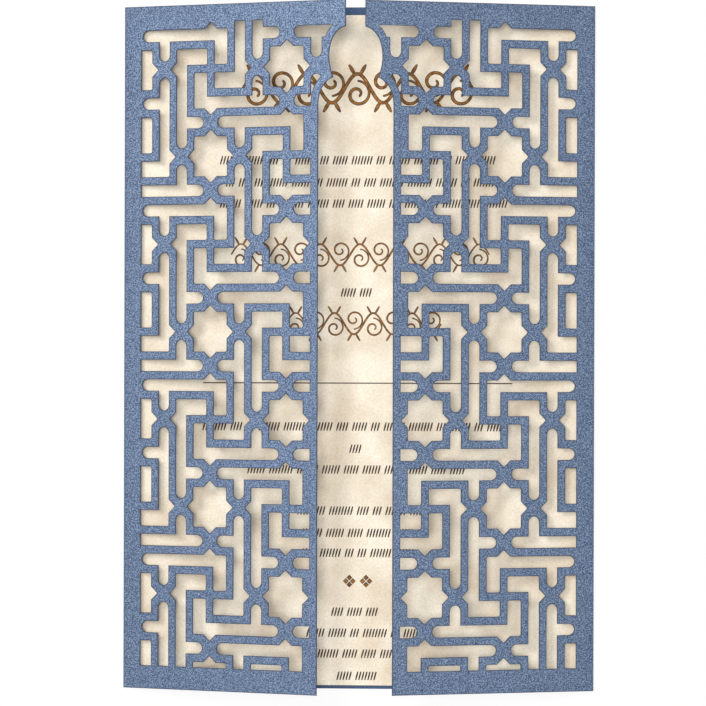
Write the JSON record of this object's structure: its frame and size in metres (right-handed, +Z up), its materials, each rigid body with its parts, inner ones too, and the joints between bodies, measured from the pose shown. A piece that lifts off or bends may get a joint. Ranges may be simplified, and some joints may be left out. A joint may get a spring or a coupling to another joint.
{
  "type": "gatefold invitation jacket",
  "caption": "Folded card jacket with two sprung gates cut with a star lattice, lying open round a flat invitation card.",
  "frame": {"origin": "under the middle of the back panel, on its underside", "axes": "+X to the right seen from the front, +Y to the jacket's top edge, +Z up out of the back panel towards the gates"},
  "size_m": [0.127, 0.184, 0.0196],
  "materials": {
    "pearl_card": "pearlescent steel blue, fine sparkle",
    "cream_card": "cream shimmer, satin"
  },
  "bodies": {
    "root": {"jacket": "pearl_card", "insert_card": "cream_card"}
  },
  "joints": []
}
